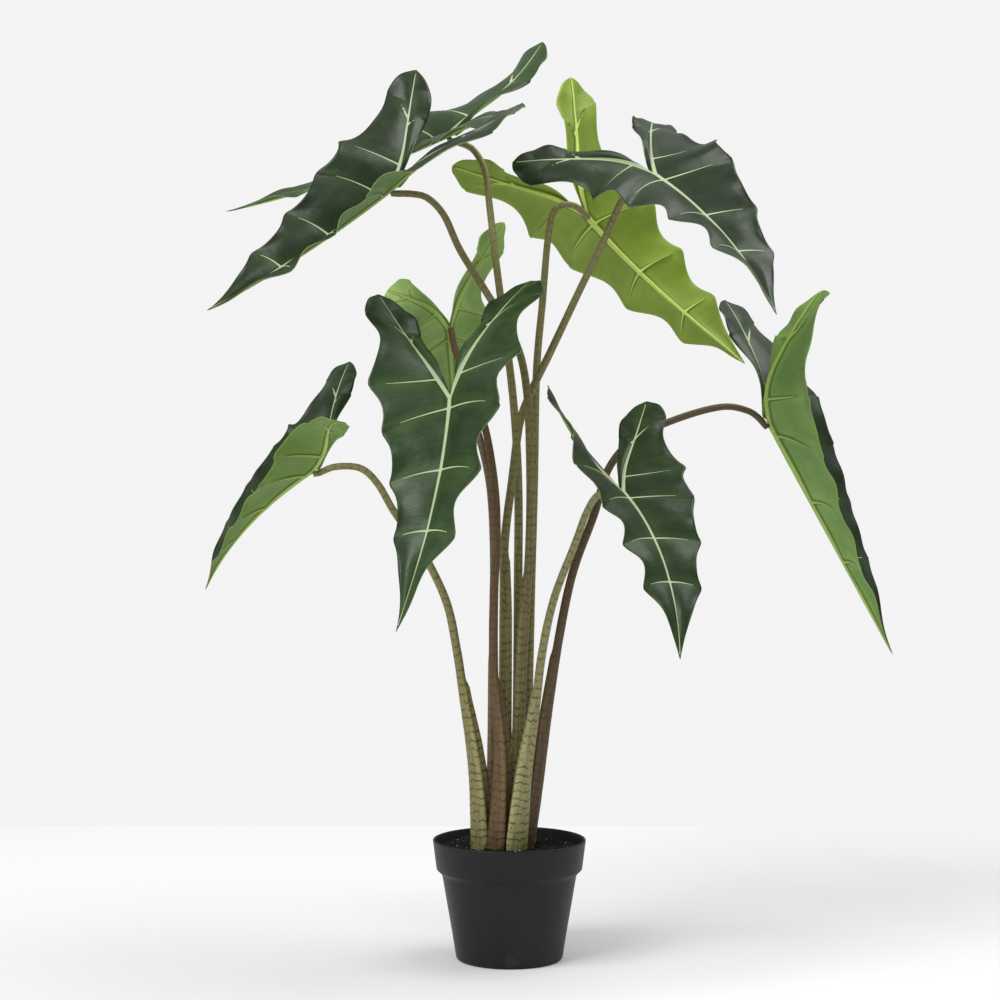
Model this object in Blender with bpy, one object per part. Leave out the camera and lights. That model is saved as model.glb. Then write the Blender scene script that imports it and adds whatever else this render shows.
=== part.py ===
"""Potted alocasia: nine arrow-shaped leaves on long stalks, in a plain nursery pot.

Metres, +Z up. The origin is the centre of the pot's flat underside. Each leaf blade is a thin
closed sheet, bent from one flat outline by a few angles, and each stalk is a tapering tube that
runs from the rootstock in the soil to the underside of its blade.
"""
import math
from dataclasses import dataclass, field

import bmesh
import bpy
import numpy as np

# ---------------------------------------------------------------- driving dimensions (metres)
POT_HEIGHT = 0.132
POT_RIM_RADIUS = 0.085
POT_BAND_FOOT_RADIUS = 0.081
POT_BAND_HEIGHT = 0.0335
POT_BODY_TOP_RADIUS = 0.0745
POT_BASE_RADIUS = 0.0595
POT_WALL = 0.0024
POT_FLOOR = 0.003
POT_CHAMFER = 0.006
POT_CORNER = 0.004
POT_SIDES = 56
DRAIN_RADIUS = 0.005
DRAIN_CIRCLE = 0.036
DRAIN_COUNT = 6
DRAIN_START = math.radians(11)

SOIL_TOP = 0.1235
SOIL_CROWN = 0.0015
SOIL_GAP = 0.0004
RIM_LIP = 0.0006
RHIZOME_RADIUS = 0.034
RHIZOME_TOP = 0.098
RHIZOME_HEIGHT = 0.040

STALK_TOP_RADIUS = 0.0036
STALK_SWELL = 0.0022
STALK_END_RADIUS = 0.0016
STALK_SIDES = 8
STALK_STEPS = 20
STALK_FOOT_Z = RHIZOME_TOP + 0.0005
SHEATH_HEIGHT = 0.17
STALK_APPROACH = 0.4
STALK_APPROACH_REACH = 0.03
STALK_APPROACH_DROP = 0.003
STALK_END_DROP = 0.006
STALK_END_TAPER = 0.010
STALK_STANDOFF = 0.0016
SOCKET_GAP = 0.0004
SOCKET_DEPTH = 0.004
SOCKET_RINGS = 4
UP = np.array([0.0, 0.0, 1.0])

BLADE_THICKNESS = 0.0014
BLADE_GAP = 0.0004

# ---------------------------------------------------------------- the flat leaf outline
# Lengths are in midrib lengths: x runs from the junction to the leaf tip, y to one side.
LOBE_TIP = (-0.60, 0.33)
LOBE_LENGTH = math.hypot(*LOBE_TIP)
LOBE_DIRECTION = np.array(LOBE_TIP) / LOBE_LENGTH


@dataclass
class Scallop:
    """One point of the margin: where it is, where its vein leaves the rib, and the curve on to the next."""
    point: tuple
    root: float
    pull: tuple = None


OUTER_MARGIN = [
    Scallop(LOBE_TIP, -LOBE_LENGTH, (-0.56, 0.40)),
    Scallop((-0.46, 0.39), -0.49, (-0.26, 0.25)),
    Scallop((-0.02, 0.355), -0.12, (0.07, 0.225)),
    Scallop((0.19, 0.28), 0.05, (0.32, 0.155)),
    Scallop((0.41, 0.215), 0.34, (0.52, 0.09)),
    Scallop((0.64, 0.15), 0.60, (0.76, 0.045)),
    Scallop((1.0, 0.0), 1.0),
]
INNER_MARGIN = [
    Scallop((-0.035, 0.0), 0.0, (-0.16, 0.055)),
    Scallop((-0.42, 0.135), -0.44, (-0.51, 0.15)),
    Scallop((-0.555, 0.22), -0.58, (-0.60, 0.27)),
    Scallop(LOBE_TIP, -LOBE_LENGTH),
]
LOBE_ROOTS = [-LOBE_LENGTH, -0.66, -0.62, -0.58, -0.535, -0.49, -0.44, -0.37, -0.30, -0.24, -0.18, -0.12, -0.07]
MIDRIB_ROOTS = [0.05, 0.12, 0.19, 0.26, 0.34, 0.40, 0.47, 0.54, 0.60, 0.69, 0.79, 0.90, 1.0]
ACROSS_STEPS = 2


# ---------------------------------------------------------------- how each leaf hangs (degrees)
@dataclass
class Half:
    """One side of a blade: its fold along the midrib, and how its rear lobe swings."""
    fold: float = 15
    fold_change: float = 0
    camber: float = 0
    width: float = 1.0
    lobe: float = 1.0
    swing: float = 0
    lift: float = 0
    turn: float = 0
    curl: float = 0


@dataclass
class Leaf:
    name: str
    at: tuple
    length: float
    heading: float
    pitch: float
    roll: float
    stalk: list
    droop: float = 0
    bend: float = 0
    twist: float = 0
    left: Half = field(default_factory=Half)
    right: Half = field(default_factory=Half)
    foot_radius: float = 0.0075
    colour: tuple = (0.02, 0.045, 0.018)
    stalk_colour: tuple = (0.25, 0.25, 0.10)


LEAVES = [
    Leaf(
        "left_high", at=(-0.129, -0.050, 0.845), length=0.261, heading=199, pitch=39, roll=-41,
        droop=-22, bend=11, twist=15,
        left=Half(fold=55, fold_change=-48, camber=2, width=1.06, lobe=1.07,
                 swing=24, lift=-16, turn=11, curl=-1),
        right=Half(fold=35, fold_change=-6, camber=-40, width=0.95, lobe=1.00,
                  swing=10, lift=-42, turn=12, curl=34),
        stalk=[
            (0.001, -0.003, 0.120), (0.011, -0.006, 0.242), (0.016, -0.009, 0.353),
            (0.022, -0.011, 0.453), (0.023, -0.015, 0.541), (0.019, -0.021, 0.629),
            (0.006, -0.015, 0.684), (-0.027, -0.022, 0.739), (-0.054, -0.035, 0.781),
            (-0.071, -0.046, 0.817), (-0.089, -0.048, 0.836), (-0.108, -0.049, 0.844)],
        colour=(0.022, 0.045, 0.018), stalk_colour=(0.20, 0.15, 0.07),
    ),
    Leaf(
        "back_left", at=(-0.071, 0.060, 0.924), length=0.275, heading=175, pitch=24, roll=-23,
        droop=-9, bend=-14, twist=0,
        left=Half(fold=13, fold_change=0, camber=0, width=1.00, lobe=0.97,
                 swing=43, lift=-4, turn=0, curl=-3),
        right=Half(fold=26, fold_change=0, camber=-69, width=1.07, lobe=1.11,
                  swing=19, lift=-32, turn=16, curl=33),
        stalk=[
            (0.007, 0.016, 0.116), (0.009, 0.020, 0.261), (0.010, 0.023, 0.415),
            (0.010, 0.024, 0.527), (0.005, 0.022, 0.615), (-0.005, 0.016, 0.698),
            (-0.015, 0.015, 0.776), (-0.022, 0.027, 0.837), (-0.027, 0.042, 0.879),
            (-0.040, 0.057, 0.906), (-0.056, 0.059, 0.915)],
        colour=(0.030, 0.060, 0.030),
    ),
    Leaf(
        "back_right", at=(0.089, 0.085, 0.836), length=0.273, heading=38, pitch=40, roll=-55,
        droop=75, bend=-23, twist=-2,
        left=Half(fold=43, fold_change=7, camber=28, width=1.07, lobe=0.89,
                 swing=14, lift=-4, turn=-5, curl=1),
        right=Half(fold=20, fold_change=14, camber=5, width=0.96, lobe=0.96,
                  swing=29, lift=30, turn=-8, curl=5),
        stalk=[
            (0.021, 0.011, 0.117), (0.021, 0.017, 0.262), (0.024, 0.024, 0.396),
            (0.028, 0.031, 0.531), (0.031, 0.042, 0.655), (0.038, 0.048, 0.735),
            (0.044, 0.056, 0.804), (0.050, 0.062, 0.839), (0.061, 0.068, 0.850),
            (0.076, 0.075, 0.847)],
        colour=(0.24, 0.35, 0.055),
    ),
    Leaf(
        "right_high", at=(0.156, -0.080, 0.856), length=0.273, heading=-48, pitch=32, roll=-2,
        droop=14, bend=-20, twist=-23,
        left=Half(fold=37, fold_change=-3, camber=91, width=0.95, lobe=1.02,
                 swing=-1, lift=-2, turn=25, curl=-33),
        right=Half(fold=-5, fold_change=10, camber=-60, width=1.05, lobe=0.84,
                  swing=24, lift=-12, turn=18, curl=-13),
        stalk=[
            (-0.010, 0.014, 0.117), (-0.007, 0.013, 0.262), (-0.006, 0.009, 0.396),
            (-0.005, 0.005, 0.463), (0.003, 0.001, 0.530), (0.012, -0.003, 0.595),
            (0.026, -0.006, 0.632), (0.045, -0.014, 0.671), (0.077, -0.034, 0.738),
            (0.101, -0.052, 0.787), (0.121, -0.066, 0.831), (0.136, -0.074, 0.847)],
    ),
    Leaf(
        "front", at=(-0.063, -0.110, 0.615), length=0.276, heading=-93, pitch=51, roll=15,
        droop=16, bend=-24, twist=4,
        left=Half(fold=33, fold_change=-12, camber=2, width=1.09, lobe=0.92,
                 swing=-3, lift=-8, turn=11, curl=-20),
        right=Half(fold=13, fold_change=-18, camber=57, width=0.92, lobe=0.97,
                  swing=0, lift=-8, turn=-25, curl=13),
        stalk=[
            (-0.018, -0.001, 0.119), (-0.017, -0.007, 0.242), (-0.018, -0.009, 0.353),
            (-0.017, -0.010, 0.442), (-0.021, -0.012, 0.519), (-0.032, -0.022, 0.573),
            (-0.044, -0.050, 0.608), (-0.055, -0.086, 0.620)],
        stalk_colour=(0.16, 0.11, 0.055),
    ),
    Leaf(
        "middle", at=(-0.067, 0.000, 0.697), length=0.216, heading=73, pitch=73, roll=-41,
        droop=-43, bend=-9, twist=0,
        left=Half(fold=0, fold_change=0, camber=-1, width=0.99, lobe=0.88,
                 swing=23, lift=73, turn=-2, curl=18),
        right=Half(fold=8, fold_change=0, camber=17, width=0.99, lobe=1.01,
                  swing=21, lift=24, turn=-21, curl=-17),
        stalk=[
            (-0.016, -0.020, 0.123), (-0.011, -0.026, 0.223), (-0.017, -0.029, 0.311),
            (-0.017, -0.030, 0.398), (-0.014, -0.031, 0.472), (-0.017, -0.031, 0.530),
            (-0.028, -0.030, 0.592), (-0.048, -0.024, 0.642), (-0.060, -0.014, 0.674)],
        foot_radius=0.009, stalk_colour=(0.16, 0.11, 0.055),
    ),
    Leaf(
        "left_low", at=(-0.216, -0.020, 0.541), length=0.231, heading=153, pitch=29, roll=-38,
        droop=28, bend=-8, twist=-13,
        left=Half(fold=48, fold_change=-21, camber=-20, width=0.86, lobe=1.07,
                 swing=21, lift=5, turn=-26, curl=-33),
        right=Half(fold=34, fold_change=-14, camber=-49, width=1.06, lobe=0.94,
                  swing=35, lift=-1, turn=12, curl=-23),
        stalk=[
            (-0.031, -0.010, 0.121), (-0.037, -0.014, 0.199), (-0.050, -0.018, 0.288),
            (-0.058, -0.020, 0.343), (-0.070, -0.022, 0.398), (-0.098, -0.024, 0.455),
            (-0.126, -0.024, 0.494), (-0.145, -0.022, 0.526), (-0.164, -0.021, 0.543),
            (-0.192, -0.020, 0.545)],
        foot_radius=0.009,
    ),
    Leaf(
        "right_low", at=(0.120, -0.110, 0.516), length=0.216, heading=-56, pitch=35, roll=-11,
        droop=37, bend=-9, twist=7,
        left=Half(fold=32, fold_change=-17, camber=64, width=1.05, lobe=1.01,
                 swing=14, lift=-3, turn=-60, curl=15),
        right=Half(fold=10, fold_change=-21, camber=-19, width=1.02, lobe=1.02,
                  swing=-13, lift=5, turn=0, curl=16),
        stalk=[
            (0.006, -0.022, 0.123), (0.015, -0.029, 0.190), (0.027, -0.038, 0.270),
            (0.035, -0.049, 0.340), (0.048, -0.066, 0.402), (0.069, -0.082, 0.459),
            (0.081, -0.092, 0.493), (0.092, -0.100, 0.512), (0.106, -0.107, 0.518)],
        foot_radius=0.0095,
    ),
    Leaf(
        "far_right", at=(0.297, 0.050, 0.594), length=0.295, heading=1, pitch=62, roll=8,
        droop=0, bend=-4, twist=6,
        left=Half(fold=35, fold_change=0, camber=30, width=1.00, lobe=0.98,
                 swing=8, lift=-13, turn=0, curl=-18),
        right=Half(fold=30, fold_change=-3, camber=-19, width=1.02, lobe=0.87,
                  swing=-14, lift=48, turn=5, curl=19),
        stalk=[
            (0.016, -0.006, 0.120), (0.031, -0.009, 0.193), (0.044, -0.014, 0.287),
            (0.055, -0.019, 0.359), (0.070, -0.020, 0.429), (0.093, -0.015, 0.491),
            (0.110, -0.008, 0.543), (0.141, 0.004, 0.577), (0.191, 0.020, 0.600),
            (0.240, 0.034, 0.613), (0.270, 0.043, 0.609), (0.287, 0.048, 0.600)],
        stalk_colour=(0.09, 0.055, 0.03),
    ),
]


# ---------------------------------------------------------------- materials
def finish(name, colour, roughness, metallic=0.0):
    material = bpy.data.materials.new(name)
    material.use_nodes = True
    shader = material.node_tree.nodes["Principled BSDF"]
    shader.inputs["Base Color"].default_value = (*colour, 1.0)
    shader.inputs["Roughness"].default_value = roughness
    shader.inputs["Metallic"].default_value = metallic
    material.diffuse_color = (*colour, 1.0)
    return material


# ---------------------------------------------------------------- mesh helpers
def add_object(name, vertices, faces, material):
    mesh = bpy.data.meshes.new(name)
    mesh.from_pydata([tuple(map(float, v)) for v in vertices], [], faces)
    bm = bmesh.new()
    bm.from_mesh(mesh)
    bmesh.ops.recalc_face_normals(bm, faces=bm.faces)
    bm.to_mesh(mesh)
    bm.free()
    mesh.materials.append(material)
    item = bpy.data.objects.new(name, mesh)
    bpy.context.scene.collection.objects.link(item)
    mesh.shade_smooth()
    mesh.set_sharp_from_angle(angle=math.radians(35))
    return item


def turned(name, profile, sides, material):
    """A closed body turned about Z from (radius, height) points that start and end on the axis."""
    vertices = []
    rings = []
    for radius, height in profile:
        if radius < 1e-6:
            rings.append([len(vertices)])
            vertices.append((0, 0, height))
            continue
        rings.append(list(range(len(vertices), len(vertices) + sides)))
        for k in range(sides):
            angle = 2 * math.pi * k / sides
            vertices.append((radius * math.cos(angle), radius * math.sin(angle), height))
    faces = []
    for low, high in zip(rings, rings[1:]):
        for k in range(sides):
            n = (k + 1) % sides
            if len(low) == 1:
                faces.append((low[0], high[n], high[k]))
            elif len(high) == 1:
                faces.append((low[k], low[n], high[0]))
            else:
                faces.append((low[k], low[n], high[n], high[k]))
    return add_object(name, vertices, faces, material)


def cut(item, cutter):
    """Subtract a cutter, and apply the cut so that the cutter can go."""
    modifier = item.modifiers.new("cut", "BOOLEAN")
    modifier.operation = "DIFFERENCE"
    modifier.solver = "EXACT"
    modifier.object = cutter
    cutter.hide_render = True
    cutter.display_type = "WIRE"
    bpy.context.view_layer.update()
    graph = bpy.context.evaluated_depsgraph_get()
    mesh = bpy.data.meshes.new_from_object(item.evaluated_get(graph))
    bm = bmesh.new()
    bm.from_mesh(mesh)
    bmesh.ops.remove_doubles(bm, verts=bm.verts, dist=1e-6)
    bmesh.ops.dissolve_degenerate(bm, edges=bm.edges, dist=1e-6)
    bmesh.ops.triangulate(bm, faces=bm.faces)
    bm.to_mesh(mesh)
    bm.free()
    item.modifiers.clear()
    item.data = mesh
    bpy.data.objects.remove(cutter)


def smooth(t):
    t = np.clip(t, 0, 1)
    return t * t * (3 - 2 * t)


def spline(points, count):
    """A Catmull-Rom curve through the points, evened out to equal steps along its length."""
    p = np.array(points, float)
    p = np.vstack([2 * p[0] - p[1], p, 2 * p[-1] - p[-2]])
    out = []
    for k in range(1, len(p) - 2):
        for t in np.linspace(0, 1, 16, endpoint=False):
            out.append(0.5 * (2 * p[k] + (p[k + 1] - p[k - 1]) * t
                              + (2 * p[k - 1] - 5 * p[k] + 4 * p[k + 1] - p[k + 2]) * t ** 2
                              + (3 * p[k] - p[k - 1] - 3 * p[k + 1] + p[k + 2]) * t ** 3))
    out.append(p[-2])
    out = np.array(out)
    run = np.concatenate([[0], np.cumsum(np.linalg.norm(np.diff(out, axis=0), axis=1))])
    even = np.linspace(0, run[-1], count)
    return np.stack([np.interp(even, run, out[:, k]) for k in range(3)], 1)


# ---------------------------------------------------------------- bending the flat leaf
def turn_x(a):
    c, s = math.cos(a), math.sin(a)
    return np.array([[1, 0, 0], [0, c, -s], [0, s, c]])


def turn_y(a):
    c, s = math.cos(a), math.sin(a)
    return np.array([[c, 0, s], [0, 1, 0], [-s, 0, c]])


def turn_z(a):
    c, s = math.cos(a), math.sin(a)
    return np.array([[c, -s, 0], [s, c, 0], [0, 0, 1]])


class Posture:
    """Carries a point of the flat leaf to its place on the hanging leaf."""

    STEPS = 32
    LOBE_BLEND = 0.30

    def __init__(self, leaf):
        self.leaf = leaf
        rad = math.radians
        self.base = turn_z(rad(leaf.heading)) @ turn_y(rad(leaf.pitch)) @ turn_x(rad(leaf.roll))
        self.midrib = self.walk(self.midrib_turn, np.array([1.0, 0, 0]), 1.0, 1.0)
        self.lobes = {}
        for side, half in ((1, leaf.left), (-1, leaf.right)):
            direction = np.array([LOBE_DIRECTION[0], side * LOBE_DIRECTION[1], 0])
            self.lobes[side] = self.walk(lambda q, s=side: self.lobe_turn(q, s), direction,
                                         LOBE_LENGTH, half.lobe)

    def midrib_turn(self, q):
        leaf = self.leaf
        rad = math.radians
        return self.base @ turn_z(rad(leaf.bend) * q) @ turn_y(rad(leaf.droop) * q) @ turn_x(rad(leaf.twist) * q)

    def lobe_turn(self, q, side):
        half = self.leaf.left if side > 0 else self.leaf.right
        blend = float(smooth(q / self.LOBE_BLEND))
        curl = math.radians(half.curl) * max(q - 0.1, 0) / (LOBE_LENGTH - 0.1)
        along = math.atan2(side * LOBE_DIRECTION[1], LOBE_DIRECTION[0])
        own = (turn_z(-side * math.radians(half.swing) * blend)
               @ turn_y(-math.radians(half.lift) * blend - curl)
               @ turn_x(side * math.radians(half.turn) * blend))
        return self.base @ turn_x(side * math.radians(half.fold)) @ turn_z(along) @ own @ turn_z(-along)

    def walk(self, turn, direction, length, stretch):
        """Follow a rib from the junction, turning as it goes."""
        q = np.linspace(0, length, self.STEPS + 1)
        heads = np.array([turn(x) @ direction for x in q])
        steps = 0.5 * (heads[1:] + heads[:-1]) * (q[1] * stretch * self.leaf.length)
        return np.vstack([[0, 0, 0], np.cumsum(steps, 0)]) + np.array(self.leaf.at)

    def place(self, point, root, side):
        """point: flat (x, y >= 0); root: where its vein leaves the rib, negative on the lobe."""
        half = self.leaf.left if side > 0 else self.leaf.right
        if root >= 0:
            track, share = self.midrib, root
            fold = side * math.radians(half.fold + half.fold_change * root)
            turn = self.midrib_turn(root) @ turn_x(fold)
            flat = np.array([root, 0.0])
        else:
            track, share = self.lobes[side], -root / LOBE_LENGTH
            turn = self.lobe_turn(-root, side)
            flat = -root * LOBE_DIRECTION
        step = min(share * self.STEPS, self.STEPS - 1e-6)
        k = int(step)
        spot = track[k] * (1 - step + k) + track[k + 1] * (step - k)
        offset = (np.array(point) - flat) * half.width
        reach = math.hypot(*offset)
        camber = math.radians(half.camber)
        if abs(camber * reach) < 1e-6:
            rise, shrink = 0.0, 1.0
        else:
            rise = (1 - math.cos(camber * reach)) / camber
            shrink = math.sin(camber * reach) / (camber * reach)
        local = np.array([offset[0] * shrink, side * offset[1] * shrink, rise])
        return spot + self.leaf.length * (turn @ local)

    def top_normal(self):
        return self.base[:, 2]


def margin_at(margin, root):
    """The margin point that the vein from this place on the rib runs to: each scallop is a quadratic."""
    pairs = [(here, there) for here, there in zip(margin, margin[1:])
             if min(here.root, there.root) - 1e-9 <= root <= max(here.root, there.root) + 1e-9]
    here, there = pairs[0]
    t = (root - here.root) / (there.root - here.root)
    a, b, c = np.array(here.point), np.array(here.pull), np.array(there.point)
    return (1 - t) ** 2 * a + 2 * t * (1 - t) * b + t * t * c


def rib_point(root):
    return np.array([root, 0.0]) if root >= 0 else -root * LOBE_DIRECTION


def blade_surface(leaf):
    """The middle surface of the blade: vertices and faces, shared along the ribs."""
    posture = Posture(leaf)
    vertices = []
    faces = []
    seen = {}

    def vertex(flat, root, side):
        on_rib_line = abs(flat[1]) < 1e-9
        key = (round(float(flat[0]), 5), round(float(flat[1]), 5), 0 if on_rib_line else side)
        if key not in seen:
            seen[key] = len(vertices)
            vertices.append(posture.place(flat, root, side))
        return seen[key]

    def strip(margin, roots, side, flip):
        rows = []
        for root in roots:
            start, end = rib_point(root), margin_at(margin, root)
            shares = [k / ACROSS_STEPS for k in range(ACROSS_STEPS + 1)]
            rows.append([vertex(start * (1 - t) + end * t, root, side) for t in shares])
        for low, high in zip(rows, rows[1:]):
            for k in range(ACROSS_STEPS):
                loop = [low[k], low[k + 1], high[k + 1], high[k]]
                loop = [v for i, v in enumerate(loop) if v not in loop[:i]]
                if len(loop) > 2:
                    faces.append(loop[::-1] if flip else loop)

    for side in (1, -1):
        strip(OUTER_MARGIN, LOBE_ROOTS + [0.0] + MIDRIB_ROOTS, side, side > 0)
        strip(INNER_MARGIN, LOBE_ROOTS + [0.0], side, side < 0)
    return vertices, faces, posture


def make_blade(leaf):
    vertices, faces, posture = blade_surface(leaf)
    mesh = bpy.data.meshes.new("surface")
    mesh.from_pydata([tuple(v) for v in vertices], [], faces)
    bm = bmesh.new()
    bm.from_mesh(mesh)
    bm.normal_update()
    middle = [v.co.copy() for v in bm.verts]
    normals = [v.normal.copy() for v in bm.verts]
    loops = [[v.index for v in f.verts] for f in bm.faces]
    border = [(e.verts[0].index, e.verts[1].index, e.link_faces[0]) for e in bm.edges if e.is_boundary]
    rim = []
    for a, b, face in border:
        order = [v.index for v in face.verts]
        k = order.index(a)
        rim.append((a, b) if order[(k + 1) % len(order)] == b else (b, a))
    bm.free()
    count = len(middle)
    half = BLADE_THICKNESS / 2
    shell = [m + n * half for m, n in zip(middle, normals)] + [m - n * half for m, n in zip(middle, normals)]
    quads = [tuple(f) for f in loops] + [tuple(v + count for v in reversed(f)) for f in loops]
    quads += [(b, a, a + count, b + count) for a, b in rim]
    blade = add_object("leaf_" + leaf.name, shell, quads, finish("blade_" + leaf.name, leaf.colour, 0.35))
    return blade, posture


# ---------------------------------------------------------------- stalks
def stalk_route(leaf, posture):
    """From the rootstock up to just under the blade, which it meets from below."""
    under = posture.top_normal() * -1
    junction = np.array(leaf.at)
    clear = BLADE_THICKNESS / 2 + BLADE_GAP
    end = junction + under * (clear + STALK_STANDOFF)
    first = np.array(leaf.stalk[0], float)
    foot = np.array([first[0], first[1], STALK_FOOT_Z])
    points = [foot] + [np.array(p, float) for p in leaf.stalk[1:]]
    for point in points[-3:]:
        away = np.linalg.norm(point - junction)
        depth = (point - junction).dot(under)
        wanted = STALK_APPROACH * min(away, STALK_APPROACH_REACH) + STALK_APPROACH_DROP
        point += under * max(0.0, wanted - depth)
    return spline(points + [junction + under * STALK_END_DROP, end], STALK_STEPS + 1)


def stalk_radius(route, leaf, k):
    """Wide at the sheath, slim under the blade, with a short tapered end."""
    run = np.linalg.norm(np.diff(route, axis=0), axis=1)
    to_end = run[k:].sum()
    height = route[k][2] - SOIL_TOP
    along = k / (len(route) - 1)
    slim = STALK_TOP_RADIUS + STALK_SWELL * (1 - along)
    extra = leaf.foot_radius - STALK_TOP_RADIUS - STALK_SWELL
    sheath = extra * float(1 - smooth(height / SHEATH_HEIGHT))
    taper = min(1.0, STALK_END_RADIUS / STALK_TOP_RADIUS + to_end / STALK_END_TAPER)
    return (slim + max(sheath, 0)) * taper


def tube(name, route, radii, ends, material, grow=0.0, rings=None):
    """A closed tube; ends gives the directions that its two end rings face."""
    rings = rings or len(route)
    tangents = np.gradient(route, axis=0)
    tangents[0], tangents[-1] = ends
    side_axis = np.array([1.0, 0, 0])
    vertices = []
    for point, tangent, radius in list(zip(route, tangents, radii))[:rings]:
        tangent = tangent / np.linalg.norm(tangent)
        side_axis = side_axis - tangent * side_axis.dot(tangent)
        side_axis /= np.linalg.norm(side_axis)
        other = np.cross(tangent, side_axis)
        for k in range(STALK_SIDES):
            angle = 2 * math.pi * k / STALK_SIDES
            vertices.append(point + (radius + grow) * (side_axis * math.cos(angle) + other * math.sin(angle)))
    faces = []
    for ring in range(rings - 1):
        for k in range(STALK_SIDES):
            a = ring * STALK_SIDES + k
            b = ring * STALK_SIDES + (k + 1) % STALK_SIDES
            faces.append((a, b, b + STALK_SIDES, a + STALK_SIDES))
    faces.append(tuple(range(STALK_SIDES))[::-1])
    faces.append(tuple(range(len(vertices) - STALK_SIDES, len(vertices))))
    return add_object(name, vertices, faces, material)


def make_stalk(leaf, posture):
    route = stalk_route(leaf, posture)
    radii = [stalk_radius(route, leaf, k) for k in range(len(route))]
    ends = (UP, posture.top_normal())
    tube("stalk_" + leaf.name, route, radii, ends, finish("skin_" + leaf.name, leaf.stalk_colour, 0.5))
    return route, radii, ends


def make_socket(route, radii, ends, material):
    """The tool that opens the soil for one stalk, a little wider, and down into the rootstock's hollow."""
    deeper = np.vstack([route[0] - UP * SOCKET_DEPTH, route[0] - UP * SOCKET_GAP, route[1:]])
    wider = [radii[0]] + list(radii)
    return tube("socket", deeper, wider, ends, material, SOCKET_GAP, SOCKET_RINGS)


# ---------------------------------------------------------------- pot, soil and rootstock
def make_pot():
    band_foot = POT_HEIGHT - POT_BAND_HEIGHT
    corner = [(POT_BASE_RADIUS - POT_CORNER + POT_CORNER * math.sin(a), POT_CORNER - POT_CORNER * math.cos(a))
              for a in np.radians([0, 30, 60, 90])]
    outer = corner + [
        (POT_BODY_TOP_RADIUS, band_foot - POT_CHAMFER),
        (POT_BAND_FOOT_RADIUS - 0.001, band_foot),
        (POT_BAND_FOOT_RADIUS, band_foot + 0.001),
        (POT_RIM_RADIUS, POT_HEIGHT - 0.001),
        (POT_RIM_RADIUS - 0.001, POT_HEIGHT),
    ]
    inner = [
        (POT_RIM_RADIUS - POT_WALL, POT_HEIGHT),
        (POT_RIM_RADIUS - POT_WALL - 0.0005, POT_HEIGHT - 0.001),
        (POT_BAND_FOOT_RADIUS - POT_WALL, band_foot + POT_WALL),
        (POT_BODY_TOP_RADIUS - POT_WALL, band_foot - POT_CHAMFER + POT_WALL / 2),
        (POT_BASE_RADIUS - POT_WALL, POT_FLOOR),
    ]
    profile = [(0, 0)] + outer + inner + [(0, POT_FLOOR)]
    pot = turned("pot", profile, POT_SIDES, finish("pot_plastic", (0.017, 0.018, 0.020), 0.5))
    for k in range(DRAIN_COUNT):
        angle = 2 * math.pi * k / DRAIN_COUNT + DRAIN_START
        drill = turned("drill", [(0, -0.01), (DRAIN_RADIUS, -0.01), (DRAIN_RADIUS, 0.01), (0, 0.01)], 12,
                       pot.data.materials[0])
        drill.location = (DRAIN_CIRCLE * math.cos(angle), DRAIN_CIRCLE * math.sin(angle), 0)
        drill.rotation_euler.z = angle
        cut(pot, drill)


def make_soil(stalks):
    gap = SOIL_GAP
    band_foot = POT_HEIGHT - POT_BAND_HEIGHT
    fill = (SOIL_TOP - band_foot) / POT_BAND_HEIGHT
    band_radius = POT_BAND_FOOT_RADIUS + (POT_RIM_RADIUS - POT_BAND_FOOT_RADIUS) * fill
    top_radius = band_radius - POT_WALL - RIM_LIP - gap
    profile = [
        (0, POT_FLOOR + gap),
        (POT_BASE_RADIUS - POT_WALL - gap, POT_FLOOR + gap),
        (POT_BODY_TOP_RADIUS - POT_WALL - gap, band_foot - POT_CHAMFER + POT_WALL / 2 + gap),
        (POT_BAND_FOOT_RADIUS - POT_WALL - gap, band_foot + POT_WALL + gap),
        (top_radius, SOIL_TOP),
        (0, SOIL_TOP + SOIL_CROWN),
    ]
    soil = turned("soil", profile, POT_SIDES, finish("potting_mix", (0.020, 0.014, 0.010), 0.95))
    for route, radii, ends in stalks:
        cut(soil, make_socket(route, radii, ends, soil.data.materials[0]))
    hollow = turned("hollow", rhizome_profile(SOCKET_GAP), 24, soil.data.materials[0])
    cut(soil, hollow)


def rhizome_profile(grow=0.0):
    top = RHIZOME_TOP + grow
    foot = RHIZOME_TOP - RHIZOME_HEIGHT - grow
    radius = RHIZOME_RADIUS + grow
    return [(0, foot), (radius * 0.5, foot + 0.003), (radius * 0.85, foot + 0.012), (radius, top - 0.010),
            (radius * 0.95, top), (0, top)]


def make_rhizome():
    turned("rhizome", rhizome_profile(), 24, finish("rootstock", (0.16, 0.10, 0.05), 0.85))


def main():
    for item in list(bpy.data.objects):
        bpy.data.objects.remove(item, do_unlink=True)
    make_pot()
    stalks = []
    for leaf in LEAVES:
        blade, posture = make_blade(leaf)
        stalks.append(make_stalk(leaf, posture))
    make_soil(stalks)
    make_rhizome()


main()
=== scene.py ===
# %% [markdown]
# # A potted alocasia
# The CAD frame gives every piece at its real size: a nursery pot, its soil, a hidden rootstock,
# nine long stalks and nine arrow-shaped blades. Here each of them gets the look of the real one.
# The frame is loaded first, and its box is kept, so that the finished blades and stalks can be held inside it.
# %% Load the frame
import math
from dataclasses import dataclass, field

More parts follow.
